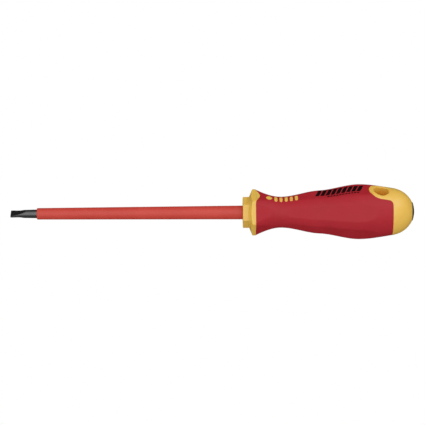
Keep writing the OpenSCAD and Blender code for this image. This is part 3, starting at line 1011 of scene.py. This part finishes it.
def bladeRing(x, inset=0.0):
    ground, reach, width = groundHalf(x) - inset, roundAt(x) - inset, widthAt(x) - inset
    if x > tip["groundEnd"]:
        ground = width = 2 * reach
    edge = max(math.acos(min(ground / reach, 1)), math.radians(tip["leastEdge"]))
    spread = [0, 0.25, 0.5, 0.72, 0.88, 0.96, 1.0]
    quarter = [math.atan(math.tan(edge) * share) for share in spread]
    quarter += [math.pi / 2 - (math.pi / 2 - edge) * share for share in (0.96, 0.85, 0.65, 0.4, 0.2)]
    turns = quarter + [math.pi / 2] + [math.pi - turn for turn in reversed(quarter[1:])]
    turns += [turn + math.pi for turn in turns]
    ring = []
    for turn in turns:
        side = min(width / max(abs(math.sin(turn)), 1e-6), 4 * reach)
        face = min(ground / max(abs(math.cos(turn)), 1e-6), 4 * reach)
        r = smoothMin(smoothMin(side, reach, tip["edgeRounding"]), face, tip["edgeRounding"])
        out = markedWay * math.cos(turn) + acrossWay * math.sin(turn)
        ring.append([x, *(out * r)[1:]])
    return ring


def makeBlade():
    stations = list(tip["edgeInsets"]) + [0.1]
    stations += [tip["firstStep"] + tip["stepLength"] * step for step in range(tip["steps"])]
    stations += tip["onShaft"] + [place["tangEnd"] - tip["tangChamfer"]]
    rings = [bladeRing(x, tip["edgeInsets"].get(x, 0)) for x in stations]
    rings.append(bladeRing(place["tangEnd"], tip["tangChamfer"]))
    points = [point for ring in rings for point in ring]
    return points, ringFaces(len(rings), len(rings[0]), False, True)


def makeWing(start, upright):
    # pressed wings that hold the tang in the core
    outline = [(0, 0), (wings["ramp"], wings["span"]), (wings["length"] - wings["ramp"], wings["span"]),
               (wings["length"], 0), (wings["length"] - wings["ramp"], -wings["span"]),
               (wings["ramp"], -wings["span"])]
    points = []
    for depth in (-wings["thicknessHalf"], wings["thicknessHalf"]):
        points += [[start + x, depth, y] if upright else [start + x, y, depth] for x, y in outline]
    return points, ringFaces(2, len(outline), False, True)


firstWing = place["tangEnd"] - 3 * wings["length"]
blade = addPiece("driver_blade", meshOf("driver_blade", *joinParts([
    makeBlade(), makeWing(firstWing, False), makeWing(firstWing + 1.5 * wings["length"], True)])),
    bladeSteel, sharpFrom=30)
print("sleeve and blade made")


# Print on the upper marked face: a row of slanted bars over a finer dashed line

printRows = [
    {"name": "print_bars", "first": 198.9, "pitch": 3.3, "count": 9, "width": 2.5, "height": 6.6,
     "middle": 1.5, "slant": 0.36},
    {"name": "print_dashes", "first": 205.0, "pitch": 1.9, "count": 11, "width": 1.35, "height": 1.1,
     "middle": -3.3, "slant": 0.36},
]
inkHeight = 0.025
inkDrop = {"from": 50, "reach": 100}                     # from the axis, along the marked face's way


def printTree():
    tree, given, out = newGroup("printed_row", "GeometryNodeTree", [
        ("Surface", target, None), ("First", number, 0.2), ("Pitch", number, 0.003), ("Count", whole, 8),
        ("Width", number, 0.0015), ("Height", number, 0.006), ("Middle", number, 0.0),
        ("Slant", number, 0.3), ("Ink Height", number, 0.00003), ("Material", paint, None)],
        [("Geometry", shape, None)])
    bar = addNode(tree, "GeometryNodeMeshGrid", {"Size X": given["Width"], "Size Y": given["Height"],
                                                 "Vertices X": 5, "Vertices Y": 15})
    lean = fromParts(tree, {"X": calc(tree, "MULTIPLY", partsOf(tree, spotIn(tree))["Y"], given["Slant"])})
    slanted = addNode(tree, "GeometryNodeSetPosition", {"Geometry": bar.outputs["Mesh"], "Offset": lean})
    row = addNode(tree, "GeometryNodeMeshLine", {
        "Count": given["Count"], "Offset": fromParts(tree, {"X": given["Pitch"]}),
        "Start Location": fromParts(tree, {"X": given["First"], "Y": given["Middle"]})})
    bars = addNode(tree, "GeometryNodeInstanceOnPoints", {"Points": row.outputs[0],
                                                          "Instance": slanted.outputs[0]})
    real = addNode(tree, "GeometryNodeRealizeInstances", {"Geometry": bars.outputs[0]})
    # the flat row is held out in front of the face and dropped on it
    flat = partsOf(tree, spotIn(tree))
    sideways = addNode(tree, "ShaderNodeVectorMath", {0: tuple(acrossWay), "Scale": flat["Y"]},
                       operation="SCALE")
    onPlane = addNode(tree, "ShaderNodeVectorMath", {0: sideways.outputs[0],
                                                     1: fromParts(tree, {"X": flat["X"]})}, operation="ADD")
    above = addNode(tree, "ShaderNodeVectorMath", {0: onPlane.outputs[0],
                                                   1: tuple(markedWay * inkDrop["from"] * mm)},
                    operation="ADD")
    surface = addNode(tree, "GeometryNodeObjectInfo", {"Object": given["Surface"]}).outputs["Geometry"]
    ray = addNode(tree, "GeometryNodeRaycast", {
        "Target Geometry": surface, "Source Position": above.outputs[0],
        "Ray Direction": tuple(-markedWay), "Ray Length": inkDrop["reach"] * mm})
    dropped = addNode(tree, "GeometryNodeSetPosition", {"Geometry": real.outputs[0],
                                                        "Position": ray.outputs["Hit Position"]})
    lift = addNode(tree, "ShaderNodeVectorMath", {0: tuple(markedWay), "Scale": given["Ink Height"]},
                   operation="SCALE")
    raised = addNode(tree, "GeometryNodeExtrudeMesh", {"Mesh": dropped.outputs[0], "Offset": lift.outputs[0],
                                                       "Offset Scale": 1.0, "Individual": False})
    underside = addNode(tree, "GeometryNodeFlipFaces", {"Mesh": dropped.outputs[0]})
    both = addNode(tree, "GeometryNodeJoinGeometry")
    tree.links.new(raised.outputs["Mesh"], both.inputs[0])
    tree.links.new(underside.outputs[0], both.inputs[0])
    complete = addNode(tree, "GeometryNodeRealizeInstances", {"Geometry": both.outputs[0]})
    painted = addNode(tree, "GeometryNodeSetMaterial", {"Geometry": complete.outputs[0],
                                                        "Material": given["Material"]})
    tree.links.new(painted.outputs[0], out["Geometry"])
    return tree


rowTree = printTree()
for look in printRows:
    mesh = grow(look["name"], rowTree, {
        "Surface": grip, "First": look["first"] * mm, "Pitch": look["pitch"] * mm, "Count": look["count"],
        "Width": look["width"] * mm, "Height": look["height"] * mm, "Middle": look["middle"] * mm,
        "Slant": look["slant"], "Ink Height": inkHeight * mm, "Material": printInk})
    ink = addPiece(look["name"], mesh, printInk)
    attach(ink, "root")
print("print made")

core = frame["nodes"]["inner_core"]
core.data.materials.clear()
core.data.materials.append(corePlastic)

for piece, node, slotName in ((shell, "handle_shell", "shell_plastic"), (grip, "soft_grip", "grip_rubber"),
                              (insulation, "blade_insulation", "sleeve_plastic"),
                              (blade, "blade", "blade_steel")):
    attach(piece, "root")
    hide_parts(node)
for piece in bpy.data.objects:
    if piece.type == "MESH":
        print(piece.name, sum(len(face.vertices) - 2 for face in piece.data.polygons), "triangles")
